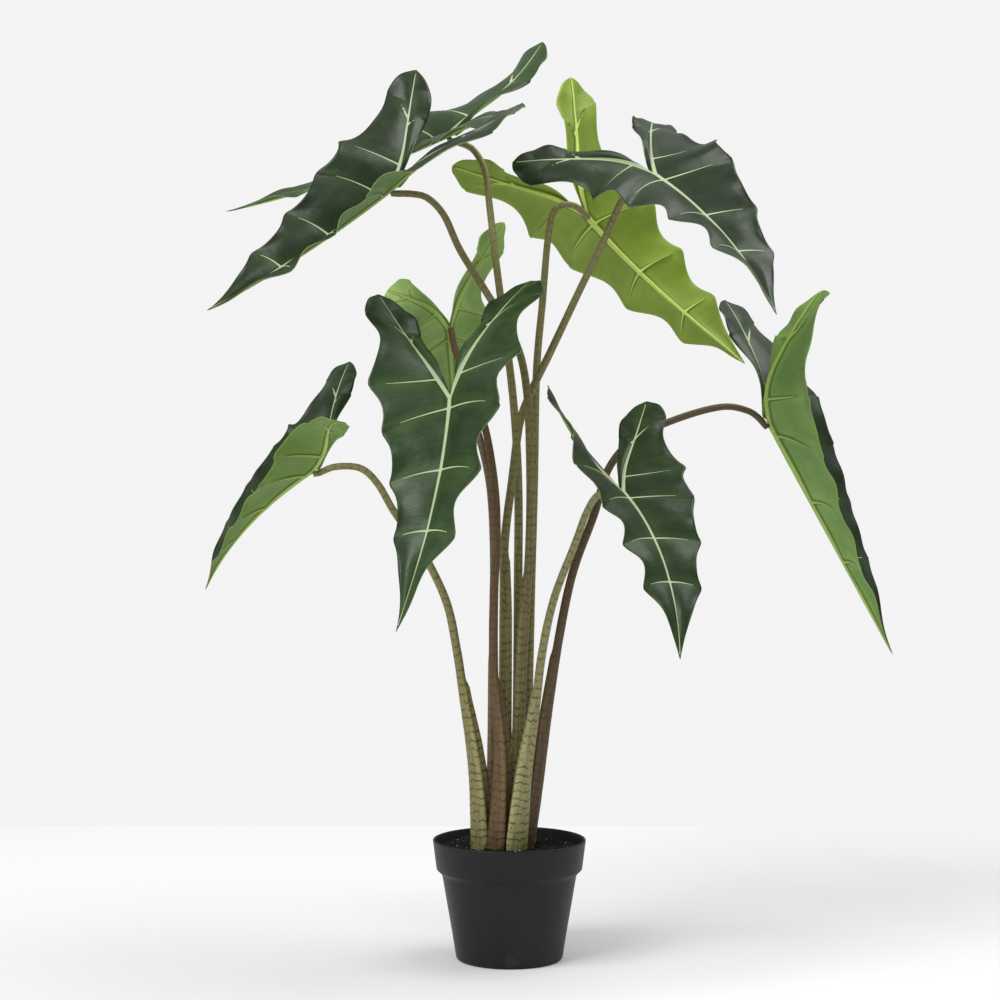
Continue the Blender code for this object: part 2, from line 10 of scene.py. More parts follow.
import bmesh
import bpy
import numpy as np
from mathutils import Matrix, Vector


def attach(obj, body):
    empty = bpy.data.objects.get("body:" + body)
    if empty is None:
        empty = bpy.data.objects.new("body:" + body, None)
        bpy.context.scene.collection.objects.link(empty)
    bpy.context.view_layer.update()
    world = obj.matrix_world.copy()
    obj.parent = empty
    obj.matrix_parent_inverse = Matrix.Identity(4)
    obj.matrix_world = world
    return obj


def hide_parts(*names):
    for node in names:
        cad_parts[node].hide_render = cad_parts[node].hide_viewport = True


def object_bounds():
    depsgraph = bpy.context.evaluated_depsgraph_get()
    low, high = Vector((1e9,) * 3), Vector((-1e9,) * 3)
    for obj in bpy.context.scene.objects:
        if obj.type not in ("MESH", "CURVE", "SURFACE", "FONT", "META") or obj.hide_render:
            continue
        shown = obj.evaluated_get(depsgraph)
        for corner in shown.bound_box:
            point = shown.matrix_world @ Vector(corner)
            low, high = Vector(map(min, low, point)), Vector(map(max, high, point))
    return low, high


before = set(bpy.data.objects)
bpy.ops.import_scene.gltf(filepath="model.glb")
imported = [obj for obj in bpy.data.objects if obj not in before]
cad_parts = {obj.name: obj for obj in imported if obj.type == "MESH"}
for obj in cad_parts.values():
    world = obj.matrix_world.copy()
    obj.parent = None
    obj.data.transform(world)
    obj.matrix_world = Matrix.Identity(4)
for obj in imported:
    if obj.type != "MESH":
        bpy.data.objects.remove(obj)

cad_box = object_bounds()
print("CAD box:", cad_box)

# %% [markdown]
# ## Maths on sockets
# A shader is a network of small nodes. Wiring each by hand hides the idea, so a wrapper lets a
# formula be written as one: `1 - mask * 0.5` adds the Math nodes itself. Every other node comes
# from one method, `node`, which sets the node's options and then its sockets.
# %% A socket that takes part in formulas
class Wire:
    """One output socket of a material, usable in arithmetic."""

    def __init__(self, tree, socket=None):
        self.tree = tree
        self.socket = socket

    def node(self, kind, settings=None, sockets=None, out=0):
        made = self.tree.nodes.new(kind)
        for key, value in (settings or {}).items():
            if key == "ramp":
                while len(made.color_ramp.elements) < len(value):
                    made.color_ramp.elements.new(0.5)
                for element, (place, colour) in zip(made.color_ramp.elements, value):
                    element.position = place
                    element.color = (*colour, 1.0)
            else:
                setattr(made, key, value)
        for key, value in (sockets or {}).items():
            if isinstance(value, Wire):
                self.tree.links.new(value.socket, made.inputs[key])
            else:
                made.inputs[key].default_value = value
        return Wire(self.tree, made.outputs[out])

    def math(self, operation, *values):
        places = {k: v for k, v in enumerate((self, *values))}
        return self.node("ShaderNodeMath", {"operation": operation}, places)

    def __add__(self, other):
        return self.math("ADD", other)

    def __mul__(self, other):
        return self.math("MULTIPLY", other)

    def __sub__(self, other):
        return self.math("SUBTRACT", other)

    def __truediv__(self, other):
        return self.math("DIVIDE", other)

    def __rsub__(self, other):
        return self.node("ShaderNodeMath", {"operation": "SUBTRACT"}, {0: other, 1: self})

    __radd__ = __add__
    __rmul__ = __mul__

    def ramp(self, low, high, start=0.0, end=1.0):
        """Rises smoothly from start to end while the value goes from low to high."""
        return self.node("ShaderNodeMapRange", {"interpolation_type": "SMOOTHSTEP"},
                         {"Value": self, "From Min": low, "From Max": high, "To Min": start, "To Max": end})

    def tint(self, first, second):
        """A colour between two, with this value as the share of the second."""
        colours = {6: first, 7: second}
        colours = {k: v if isinstance(v, Wire) else (*v, 1.0) for k, v in colours.items()}
        return self.node("ShaderNodeMix", {"data_type": "RGBA"}, {0: self, **colours}, 2)

    def attribute(self, name, out=2):
        return self.node("ShaderNodeAttribute", {"attribute_name": name}, None, out)

    def noise(self, where, scale, detail=3.0, stretch=None):
        if stretch:
            where = self.node("ShaderNodeVectorMath", {"operation": "MULTIPLY"}, {0: where, 1: stretch})
        return self.node("ShaderNodeTexNoise", None, {"Vector": where, "Scale": scale, "Detail": detail})

    def split(self, vector, axis):
        return self.node("ShaderNodeSeparateXYZ", None, {0: vector}, axis)

    def bump(self, height, strength, distance):
        return self.node("ShaderNodeBump", None, {"Strength": strength, "Distance": distance, "Height": height})


def new_finish(name):
    """An empty material: its start for formulas, and its Principled shader."""
    material = bpy.data.materials.new(name)
    material.use_nodes = True
    return material, Wire(material.node_tree), material.node_tree.nodes["Principled BSDF"]


def feed(shader, **inputs):
    """Links or sets the shader's sockets; underscores in a name stand for spaces."""
    for key, value in inputs.items():
        socket = shader.inputs[key.replace("_", " ")]
        if isinstance(value, Wire):
            value.tree.links.new(value.socket, socket)
        else:
            socket.default_value = (*value, 1.0) if isinstance(value, tuple) else value


print("socket maths ready")

# %% [markdown]
# ## Camera, floor and light
# A product studio is a pale sweep with one very large soft light. The camera stands level, a long
# way back with a long lens, so the plant keeps its true proportions. The floor ends a little way
# behind the pot and meets a background of nearly the same tone.
# %% Studio
CAMERA_DISTANCE = 2.21
CAMERA_HEIGHT = 0.508
CAMERA_SIDE = -0.0104
LENS_OVER_FRAME = 1.99
SENSOR = 36.0
FLOOR_BACK = 0.89
PAPER = (0.79, 0.79, 0.79)


def make_camera():
    data = bpy.data.cameras.new("camera")
    data.sensor_width = SENSOR
    data.lens = SENSOR * LENS_OVER_FRAME
    camera = bpy.data.objects.new("camera", data)
    camera.location = (CAMERA_SIDE, -CAMERA_DISTANCE, CAMERA_HEIGHT)
    camera.rotation_euler = (math.radians(90), 0, 0)
    bpy.context.scene.collection.objects.link(camera)
    bpy.context.scene.camera = camera


def make_floor():
    mesh = bpy.data.meshes.new("floor")
    corners = [(-4, -4, 0), (4, -4, 0), (4, FLOOR_BACK, 0), (-4, FLOOR_BACK, 0)]
    mesh.from_pydata(corners, [], [(0, 1, 2, 3)])
    floor = bpy.data.objects.new("floor", mesh)
    bpy.context.scene.collection.objects.link(floor)
    material, start, shader = new_finish("studio paper")
    feed(shader, Base_Color=PAPER, Roughness=0.85, Specular_IOR_Level=0.2)
    mesh.materials.append(material)


def make_light(name, place, aim, size, power, tone=(1, 1, 1)):
    data = bpy.data.lights.new(name, "AREA")
    data.shape = "RECTANGLE"
    data.size, data.size_y = size
    data.energy = power
    data.color = tone
    light = bpy.data.objects.new(name, data)
    light.location = place
    towards = np.array(aim, float) - np.array(place, float)
    flat = math.hypot(towards[0], towards[1])
    light.rotation_euler = (math.atan2(flat, -towards[2]), 0, math.atan2(towards[1], towards[0]) - math.pi / 2)
    bpy.context.scene.collection.objects.link(light)


def make_world(seen, lit):
    """A pale backdrop that looks bright but lights the plant less, so that the lamp shapes it."""
    world = bpy.data.worlds.new("studio")
    world.use_nodes = True
    tree = world.node_tree
    background = tree.nodes["Background"]
    background.inputs["Color"].default_value = (1.0, 1.0, 1.0, 1.0)
    direct = Wire(tree).node("ShaderNodeLightPath")
    strength = direct * (seen - lit) + lit
    tree.links.new(strength.socket, background.inputs["Strength"])
    bpy.context.scene.world = world


bpy.context.scene.view_settings.view_transform = "Standard"
make_camera()
make_floor()
make_world(0.9, 0.5)
make_light("window", (-2.6, -2.4, 4.4), (0, 0, 0.45), (2.6, 2.6), 185)
make_light("ceiling", (1.9, 0.2, 4.4), (0.4, 0, 0.2), (2.8, 2.8), 110)
print("studio set: camera", CAMERA_DISTANCE, "m back")

# %% [markdown]
# ## The flat leaf
# An alocasia blade is an arrowhead: one midrib runs forward to the tip, and two strong ribs run back
# into the lobes. Side veins leave the ribs and end in the points of the wavy margin. Drawing that
# once, flat, in midrib lengths, is the simplest way: all nine blades are bent from the same outline.
# %% The outline and its veins
LOBE_TIP = (-0.60, 0.33)
LOBE_LENGTH = math.hypot(*LOBE_TIP)
LOBE_DIRECTION = np.array(LOBE_TIP) / LOBE_LENGTH


@dataclass
class Scallop:
    """One margin point, where its vein leaves the rib, and the curve on to the next."""
    point: tuple
    root: float
    pull: tuple = None


OUTER_MARGIN = [
    Scallop(LOBE_TIP, -LOBE_LENGTH, (-0.56, 0.40)),
    Scallop((-0.46, 0.39), -0.49, (-0.26, 0.25)),
    Scallop((-0.02, 0.355), -0.12, (0.07, 0.225)),
    Scallop((0.19, 0.28), 0.05, (0.32, 0.155)),
    Scallop((0.41, 0.215), 0.34, (0.52, 0.09)),
    Scallop((0.64, 0.15), 0.60, (0.76, 0.045)),
    Scallop((1.0, 0.0), 1.0),
]
INNER_MARGIN = [
    Scallop((-0.035, 0.0), 0.0, (-0.16, 0.055)),
    Scallop((-0.42, 0.135), -0.44, (-0.51, 0.15)),
    Scallop((-0.555, 0.22), -0.58, (-0.60, 0.27)),
    Scallop(LOBE_TIP, -LOBE_LENGTH),
]
VEIN_BOW = 0.05
POINT_ROUNDING = 0.022
HOLLOW_FILL = 0.12
OUTER_SHARES = [0, .03, .06, .1, .16, .24, .33, .43, .53, .63, .73, .82, .9, .96, 1]
INNER_SHARES = [0, .06, .13, .22, .34, .5, .66, .84, 1]


def margin_at(margin, root):
    """The margin point that the vein from this place on the rib runs to."""
    pairs = [(here, there) for here, there in zip(margin, margin[1:])
             if min(here.root, there.root) - 1e-9 <= root <= max(here.root, there.root) + 1e-9]
    here, there = pairs[0]
    t = (root - here.root) / (there.root - here.root)
    a, b, c = np.array(here.point), np.array(here.pull), np.array(there.point)
    return (1 - t) ** 2 * a + 2 * t * (1 - t) * b + t * t * c


def rib_point(root):
    return np.array([root, 0.0]) if root >= 0 else -root * LOBE_DIRECTION


def soft_margin(margin, root):
    """The margin with its points rounded off and its hollows made a little shallower."""
    roots = [s.root for s in margin]
    room = min(abs(root - min(roots)), abs(root - max(roots)), POINT_ROUNDING)
    near = np.mean([margin_at(margin, root + d * room) for d in (-1, -0.5, 0, 0.5, 1)], 0)
    chord = np.array([np.interp(root, *zip(*sorted((s.root, s.point[k]) for s in margin))) for k in (0, 1)])
    return near + (chord - near) * HOLLOW_FILL


def row_point(margin, root, share):
    """A point on the line of a vein: side veins bow a little back before they run out to the edge."""
    start, end = rib_point(root), soft_margin(margin, root)
    forward = np.array([1.0, 0.0]) if root >= 0 else LOBE_DIRECTION * np.sign(end[0] - start[0] or 1)
    bow = VEIN_BOW * 4 * share * (1 - share) * np.linalg.norm(end - start) * (margin is OUTER_MARGIN)
    taper = min(1.0, (1 - abs(root)) * 3, abs(root + LOBE_LENGTH) * 4)
    return start * (1 - share) + end * share - forward * bow * max(taper, 0) * (root >= 0)


def vein_line(margin, root, reach=0.80, width=0.0044, thin=0.0007, early=0.0):
    """A side vein; early moves its start towards the junction, so that it forks off at a slant."""
    shares = np.linspace(0, reach, 9)
    line = np.array([row_point(margin, root, s) for s in shares])
    shift = rib_point(root + early) - rib_point(root)
    return line + (1 - shares / reach)[:, None] * shift, np.linspace(width, thin, len(line))


def rib_lines():
    """Every vein of one half as (points, half widths), the two main ribs first."""
    midrib = np.stack([np.linspace(0, 0.985, 14), np.zeros(14)], 1)
    lobe = np.linspace(0, 0.97, 10)[:, None] * np.array(LOBE_TIP)
    lines = [(midrib, np.linspace(0.0092, 0.0022, 14)), (lobe, np.linspace(0.0078, 0.0018, 10))]
    lines += [vein_line(OUTER_MARGIN, OUTER_MARGIN[1].root, 0.55, 0.0052, early=0.08)]
    lines += [vein_line(OUTER_MARGIN, s.root) for s in OUTER_MARGIN[2:-1]]
    lines += [vein_line(INNER_MARGIN, INNER_MARGIN[1].root, 0.60, 0.0046, early=0.07)]
    return lines


def vein_ratio(points, lines):
    """How many half widths away the nearest vein is, and how far off it is, for each flat point."""
    ratio = np.full(len(points), 99.0)
    away = np.full(len(points), 9.0)
    for line, widths in lines:
        for a, b, wa, wb in zip(line, line[1:], widths, widths[1:]):
            s = np.clip((points - a) @ (b - a) / ((b - a) @ (b - a)), 0, 1)
            d = np.linalg.norm(points - a - s[:, None] * (b - a), axis=1)
            ratio = np.minimum(ratio, d / (wa + (wb - wa) * s))
            away = np.minimum(away, d)
    return ratio, away


RIB_LINES = rib_lines()
print("veins in each half:", len(RIB_LINES))

# %% [markdown]
# ## How each leaf hangs
# A leaf is placed by its junction with the stalk, three angles, and a bend, droop and twist along its
# midrib. Each half then folds about the midrib, and its lobe swings, lifts and curls. Angles in
# degrees are easier to judge and change than a sculpted shape, and they can't tear the blade.
# %% The nine leaves
@dataclass
class Half:
    """One side of a blade."""
    fold: float = 15
    fold_change: float = 0
    camber: float = 0
    width: float = 1.0
    lobe: float = 1.0
    swing: float = 0
    lift: float = 0
    turn: float = 0
    curl: float = 0


@dataclass
class Leaf:
    name: str
    at: tuple
    length: float
    heading: float
    pitch: float
    roll: float
    stalk: list
    droop: float = 0
    bend: float = 0
    twist: float = 0
    left: Half = field(default_factory=Half)
    right: Half = field(default_factory=Half)
    foot_radius: float = 0.0075


LEAVES = [
    Leaf(
        "left_high", at=(-0.129, -0.050, 0.845), length=0.261, heading=199, pitch=39, roll=-41,
        droop=-22, bend=11, twist=15,
        left=Half(fold=55, fold_change=-48, camber=2, width=1.06, lobe=1.07,
                 swing=24, lift=-16, turn=11, curl=-1),
        right=Half(fold=35, fold_change=-6, camber=-40, width=0.95, lobe=1.00,
                  swing=10, lift=-42, turn=12, curl=34),
        stalk=[
            (0.001, -0.003, 0.120), (0.011, -0.006, 0.242), (0.016, -0.009, 0.353),
            (0.022, -0.011, 0.453), (0.023, -0.015, 0.541), (0.019, -0.021, 0.629),
            (0.006, -0.015, 0.684), (-0.027, -0.022, 0.739), (-0.054, -0.035, 0.781),
            (-0.071, -0.046, 0.817), (-0.089, -0.048, 0.836), (-0.108, -0.049, 0.844)],
    ),
    Leaf(
        "back_left", at=(-0.071, 0.060, 0.924), length=0.275, heading=175, pitch=24, roll=-23,
        droop=-9, bend=-14, twist=0,
        left=Half(fold=13, fold_change=0, camber=0, width=1.00, lobe=0.97,
                 swing=43, lift=-4, turn=0, curl=-3),
        right=Half(fold=26, fold_change=-30, camber=-69, width=1.07, lobe=1.11,
                  swing=19, lift=-32, turn=16, curl=33),
        stalk=[
            (0.007, 0.016, 0.116), (0.009, 0.020, 0.261), (0.010, 0.023, 0.415),
            (0.010, 0.024, 0.527), (0.005, 0.022, 0.615), (-0.005, 0.016, 0.698),
            (-0.015, 0.015, 0.776), (-0.022, 0.027, 0.837), (-0.027, 0.042, 0.879),
            (-0.040, 0.057, 0.906), (-0.056, 0.059, 0.915)],
    ),
    Leaf(
        "back_right", at=(0.089, 0.085, 0.836), length=0.273, heading=38, pitch=40, roll=-55,
        droop=75, bend=-23, twist=-2,
        left=Half(fold=43, fold_change=7, camber=28, width=1.07, lobe=0.89,
                 swing=14, lift=-4, turn=-5, curl=1),
        right=Half(fold=20, fold_change=14, camber=5, width=0.98, lobe=0.96,
                  swing=29, lift=30, turn=-8, curl=5),
        stalk=[
            (0.021, 0.011, 0.117), (0.021, 0.017, 0.262), (0.024, 0.024, 0.396),
            (0.028, 0.031, 0.531), (0.031, 0.042, 0.655), (0.038, 0.048, 0.735),
            (0.044, 0.056, 0.804), (0.050, 0.062, 0.839), (0.061, 0.068, 0.850),
            (0.076, 0.075, 0.847)],
    ),
    Leaf(
        "right_high", at=(0.156, -0.080, 0.856), length=0.273, heading=-48, pitch=32, roll=-2,
        droop=14, bend=-20, twist=-23,
        left=Half(fold=37, fold_change=-3, camber=91, width=0.93, lobe=0.90,
                 swing=9, lift=-2, turn=25, curl=-33),
        right=Half(fold=-5, fold_change=10, camber=-60, width=1.05, lobe=0.84,
                  swing=24, lift=-12, turn=18, curl=-13),
        stalk=[
            (-0.010, 0.014, 0.117), (-0.007, 0.013, 0.262), (-0.006, 0.009, 0.396),
            (-0.005, 0.005, 0.463), (0.003, 0.001, 0.530), (0.012, -0.003, 0.595),
            (0.026, -0.006, 0.632), (0.045, -0.014, 0.671), (0.077, -0.034, 0.738),
            (0.101, -0.052, 0.787), (0.121, -0.066, 0.831), (0.136, -0.074, 0.847)],
    ),
    Leaf(
        "front", at=(-0.063, -0.110, 0.615), length=0.276, heading=-93, pitch=51, roll=15,
        droop=16, bend=-24, twist=4,
        left=Half(fold=33, fold_change=-12, camber=2, width=1.09, lobe=0.92,
                 swing=-3, lift=-8, turn=11, curl=-20),
        right=Half(fold=13, fold_change=-18, camber=57, width=0.92, lobe=0.97,
                  swing=0, lift=-8, turn=-25, curl=13),
        stalk=[
            (-0.018, -0.001, 0.119), (-0.017, -0.007, 0.242), (-0.018, -0.009, 0.353),
            (-0.017, -0.010, 0.442), (-0.021, -0.012, 0.519), (-0.032, -0.022, 0.573),
            (-0.044, -0.050, 0.608), (-0.055, -0.086, 0.620)],
    ),
    Leaf(
        "middle", at=(-0.067, 0.000, 0.697), length=0.216, heading=73, pitch=73, roll=-41,
        droop=-43, bend=-9, twist=0,
        left=Half(fold=0, fold_change=0, camber=-1, width=0.99, lobe=0.88,
                 swing=23, lift=73, turn=-2, curl=18),
        right=Half(fold=8, fold_change=0, camber=17, width=0.99, lobe=1.01,
                  swing=21, lift=24, turn=-21, curl=-17),
        stalk=[
            (-0.016, -0.020, 0.123), (-0.011, -0.026, 0.223), (-0.017, -0.029, 0.311),
            (-0.017, -0.030, 0.398), (-0.014, -0.031, 0.472), (-0.017, -0.031, 0.530),
            (-0.028, -0.030, 0.592), (-0.048, -0.024, 0.642), (-0.060, -0.014, 0.674)],
        foot_radius=0.009,
    ),
    Leaf(
        "left_low", at=(-0.216, -0.020, 0.541), length=0.231, heading=153, pitch=29, roll=-38,
        droop=28, bend=-8, twist=-13,
        left=Half(fold=48, fold_change=-21, camber=-20, width=0.86, lobe=1.07,
                 swing=21, lift=5, turn=-26, curl=-33),
        right=Half(fold=50, fold_change=-19, camber=-41, width=0.85, lobe=1.01,
                  swing=46, lift=-26, turn=-9, curl=-24),
        stalk=[
            (-0.031, -0.010, 0.121), (-0.037, -0.014, 0.199), (-0.050, -0.018, 0.288),
            (-0.058, -0.020, 0.343), (-0.070, -0.022, 0.398), (-0.098, -0.024, 0.455),
            (-0.126, -0.024, 0.494), (-0.145, -0.022, 0.526), (-0.164, -0.021, 0.543),
            (-0.192, -0.020, 0.545)],
        foot_radius=0.009,
    ),
    Leaf(
        "right_low", at=(0.120, -0.110, 0.516), length=0.216, heading=-56, pitch=35, roll=-11,
        droop=37, bend=-9, twist=7,
        left=Half(fold=32, fold_change=-17, camber=40, width=1.05, lobe=1.01,
                 swing=14, lift=-3, turn=-8, curl=15),
        right=Half(fold=10, fold_change=-21, camber=-19, width=1.02, lobe=1.02,
                  swing=-13, lift=5, turn=-20, curl=16),
        stalk=[
            (0.006, -0.022, 0.123), (0.015, -0.029, 0.190), (0.027, -0.038, 0.270),
            (0.035, -0.049, 0.340), (0.048, -0.066, 0.402), (0.069, -0.082, 0.459),
            (0.081, -0.092, 0.493), (0.092, -0.100, 0.512), (0.106, -0.107, 0.518)],
        foot_radius=0.0095,
    ),
    Leaf(
        "far_right", at=(0.297, 0.050, 0.594), length=0.295, heading=1, pitch=62, roll=8,
        droop=0, bend=-4, twist=6,
        left=Half(fold=40, fold_change=0, camber=30, width=1.00, lobe=0.98,
                 swing=8, lift=-13, turn=0, curl=-18),
        right=Half(fold=30, fold_change=-3, camber=-19, width=1.02, lobe=0.87,
                  swing=-14, lift=48, turn=5, curl=19),
        stalk=[
            (0.016, -0.006, 0.120), (0.031, -0.009, 0.193), (0.044, -0.014, 0.287),
            (0.055, -0.019, 0.359), (0.070, -0.020, 0.429), (0.093, -0.015, 0.491),
            (0.110, -0.008, 0.543), (0.141, 0.004, 0.577), (0.191, 0.020, 0.600),
            (0.240, 0.034, 0.613), (0.270, 0.043, 0.609), (0.287, 0.048, 0.600)],
    ),
]
print("leaves:", ", ".join(leaf.name for leaf in LEAVES))

# %% [markdown]
# ## Bending a blade
# The posture carries a flat point to its place in the air. It first walks along the rib, turning a
# little at each step, and then steps off it to the side along the vein, rolling with the camber.
# %% From flat to hanging
def smooth(t):
    t = np.clip(t, 0, 1)
    return t * t * (3 - 2 * t)


def turn_x(a):
    c, s = math.cos(a), math.sin(a)
    return np.array([[1, 0, 0], [0, c, -s], [0, s, c]])


def turn_y(a):
    c, s = math.cos(a), math.sin(a)
    return np.array([[c, 0, s], [0, 1, 0], [-s, 0, c]])


def turn_z(a):
    c, s = math.cos(a), math.sin(a)
    return np.array([[c, -s, 0], [s, c, 0], [0, 0, 1]])


class Posture:
    """Carries a point of the flat leaf to its place on the hanging leaf."""

    STEPS = 48
    LOBE_BLEND = 0.30

    def __init__(self, leaf):
        self.leaf = leaf
        rad = math.radians
        self.base = turn_z(rad(leaf.heading)) @ turn_y(rad(leaf.pitch)) @ turn_x(rad(leaf.roll))
        self.midrib = self.walk(self.midrib_turn, np.array([1.0, 0, 0]), 1.0, 1.0)
        self.lobes = {}
        for side, half in ((1, leaf.left), (-1, leaf.right)):
            direction = np.array([LOBE_DIRECTION[0], side * LOBE_DIRECTION[1], 0])
            self.lobes[side] = self.walk(lambda q, s=side: self.lobe_turn(q, s), direction,
                                         LOBE_LENGTH, half.lobe)

    def midrib_turn(self, q):
        leaf = self.leaf
        rad = math.radians
        return self.base @ turn_z(rad(leaf.bend) * q) @ turn_y(rad(leaf.droop) * q) @ turn_x(rad(leaf.twist) * q)

    def lobe_turn(self, q, side):
        half = self.leaf.left if side > 0 else self.leaf.right
        blend = float(smooth(q / self.LOBE_BLEND))
        curl = math.radians(half.curl) * max(q - 0.1, 0) / (LOBE_LENGTH - 0.1)
        along = math.atan2(side * LOBE_DIRECTION[1], LOBE_DIRECTION[0])
        own = (turn_z(-side * math.radians(half.swing) * blend)
               @ turn_y(-math.radians(half.lift) * blend - curl)
               @ turn_x(side * math.radians(half.turn) * blend))
        return self.base @ turn_x(side * math.radians(half.fold)) @ turn_z(along) @ own @ turn_z(-along)

    def walk(self, turn, direction, length, stretch):
        q = np.linspace(0, length, self.STEPS + 1)
        heads = np.array([turn(x) @ direction for x in q])
        steps = 0.5 * (heads[1:] + heads[:-1]) * (q[1] * stretch * self.leaf.length)
        return np.vstack([[0, 0, 0], np.cumsum(steps, 0)]) + np.array(self.leaf.at)

    def row(self, root, side):
        """What all points of one vein line share: the place on the rib, the turn and the flat start."""
        half = self.leaf.left if side > 0 else self.leaf.right
        if root >= 0:
            track, share = self.midrib, root
            fold = side * math.radians(half.fold + half.fold_change * root)
            turn = self.midrib_turn(root) @ turn_x(fold)
        else:
            track, share = self.lobes[side], -root / LOBE_LENGTH
            turn = self.lobe_turn(-root, side)
        step = min(share * self.STEPS, self.STEPS - 1e-6)
        k = int(step)
        return track[k] * (1 - step + k) + track[k + 1] * (step - k), turn, half

    def place(self, row, point, root, side, rise=0.0):
        spot, turn, half = row
        offset = (point - rib_point(root)) * half.width
        reach = math.hypot(*offset)
        camber = math.radians(half.camber)
        if abs(camber * reach) < 1e-6:
            bend, shrink = 0.0, 1.0
        else:
            bend = (1 - math.cos(camber * reach)) / camber
            shrink = math.sin(camber * reach) / (camber * reach)
        local = np.array([offset[0] * shrink, side * offset[1] * shrink, bend + rise])
        return spot + self.leaf.length * (turn @ local)


# %% [markdown]
# ## The blade's relief
# Between two side veins the real blade swells upwards, like a quilt, and its edge waves in step with
# the points. Underneath, the ribs stand out as round cords. These shapes catch the light along the
# outline as well, so they are made in the mesh; only the finest grain is left to the bump map.
# %% Blade mesh
QUILT = 0.015
EDGE_WAVE = 0.018
SKIN = 0.00035
UNDER_RIB = 1.15
LOW, HIGH = (np.array(corner) for corner in cad_box)


def stations(margin, first, last, step=0.02):
    """Places along the ribs: evenly spread, and closer together beside each vein."""
    veins = [s.root for s in margin[1:-1]]
    near = [v + d for v in veins for d in (-0.018, -0.008, 0, 0.008, 0.018)]
    spread = [r for r in np.arange(first, last, step) if all(abs(r - n) > 0.009 for n in near)]
    return sorted(set([first, 0.0, last] + [float(r) for r in spread if abs(r) > 0.006] + near))


def swell(margin, root, share):
    """How far the surface rises over the flat leaf, for its place between two veins."""
    ends = sorted(s.root for s in margin)
    k = min(max(int(np.searchsorted(ends, root)) - 1, 0), len(ends) - 2)
    u = (root - ends[k]) / (ends[k + 1] - ends[k])
    gap = min(ends[k + 1] - ends[k], 0.3) / 0.3
    quilt = QUILT * math.sin(math.pi * u) ** 0.8 * math.sin(math.pi * min(share * 1.15, 1)) * gap
    wave = EDGE_WAVE * math.cos(2 * math.pi * u) * share ** 3 * gap
    ends_fade = min(1.0, (1 - root) * 4, (root + LOBE_LENGTH) * 6)
    return (quilt - wave) * max(ends_fade, 0)


def blade_sheet(leaf):
    """The middle surface: places, flat places, (root, share) of each vertex, and the faces."""
    posture = Posture(leaf)
    places, flats, grains, faces, seen = [], [], [], [], {}

    def strip(margin, roots, shares, side, flip):
        rows = []
        for root in roots:
            row = posture.row(root, side)
            line = []
            for share in shares:
                flat = row_point(margin, root, share)
                key = (round(flat[0], 5), round(flat[1], 5), side if abs(flat[1]) > 1e-9 else 0)
                if key not in seen:
                    seen[key] = len(places)
                    places.append(posture.place(row, flat, root, side, swell(margin, root, share)))
                    flats.append(flat)
                    grains.append((root, share * np.linalg.norm(flat - rib_point(root)), side))
                line.append(seen[key])
            rows.append(line)
        for low, high in zip(rows, rows[1:]):
            for k in range(len(shares) - 1):
                loop = [low[k], low[k + 1], high[k + 1], high[k]]
                loop = [v for i, v in enumerate(loop) if v not in loop[:i]]
                if len(loop) > 2:
                    faces.append(loop[::-1] if flip else loop)

    for side in (1, -1):
        inner = stations(INNER_MARGIN, -LOBE_LENGTH, 0.0)
        outer = sorted(set(inner) | set(stations(OUTER_MARGIN, -LOBE_LENGTH, 1.0)))
        strip(OUTER_MARGIN, outer, OUTER_SHARES, side, side > 0)
        inner = [root for root in outer if root <= 0]
        strip(INNER_MARGIN, inner, INNER_SHARES, side, side < 0)
    return np.array(places), np.array(flats), np.array(grains), faces


def make_blade(leaf, top_finish, under_finish):
    places, flats, grains, faces = blade_sheet(leaf)
    sheet = bpy.data.meshes.new("sheet")
    sheet.from_pydata(places.tolist(), [], faces)
    bm = bmesh.new()
    bm.from_mesh(sheet)
    bm.normal_update()
    normals = np.array([v.normal[:] for v in bm.verts])
    border = {}
    for edge in bm.edges:
        if edge.is_boundary:
            order = [v.index for v in edge.link_faces[0].verts]
            a, b = edge.verts[0].index, edge.verts[1].index
            forward = order[(order.index(a) + 1) % len(order)] == b
            border[a if forward else b] = b if forward else a
    bm.free()
    ratio, away = vein_ratio(flats, RIB_LINES)
    thick = leaf.length * 0.0105 * UNDER_RIB
    cord = np.exp(-ratio ** 2 * 0.9) * np.clip(1.15 - np.hypot(*flats.T) * 0.95, 0.18, 1)
    top = places + normals * SKIN
    under = places - normals * (SKIN + cord * thick)[:, None]
    count = len(places)
    points = np.clip(np.vstack([top, under]), LOW, HIGH)
    quads = faces + [[v + count for v in reversed(f)] for f in faces]
    quads += [[b, a, a + count, b + count] for a, b in border.items()]
    mesh = bpy.data.meshes.new("blade_" + leaf.name)
    mesh.from_pydata(points.tolist(), [], quads)
    mesh.materials.append(top_finish)
    mesh.materials.append(under_finish)
    slots = np.zeros(len(quads), np.int32)
    slots[len(faces):] = 1
    mesh.polygons.foreach_set("material_index", slots)
    mesh.shade_smooth()
    for name, values in (("vein", np.minimum(ratio, 12)), ("away", np.minimum(away, 1))):
        mesh.attributes.new(name, "FLOAT", "POINT").data.foreach_set("value", np.tile(values, 2))
    edge = np.zeros(count)
    edge[list(border)] = 1
    mesh.attributes.new("edge", "FLOAT", "POINT").data.foreach_set("value", np.tile(edge, 2))
    grain = mesh.attributes.new("grain", "FLOAT_VECTOR", "POINT")
    grain.data.foreach_set("vector", np.tile(grains, (2, 1)).ravel())
    mesh.update()
    blade = bpy.data.objects.new("blade_" + leaf.name, mesh)
    bpy.context.scene.collection.objects.link(blade)
    bpy.data.meshes.remove(sheet)
    return blade
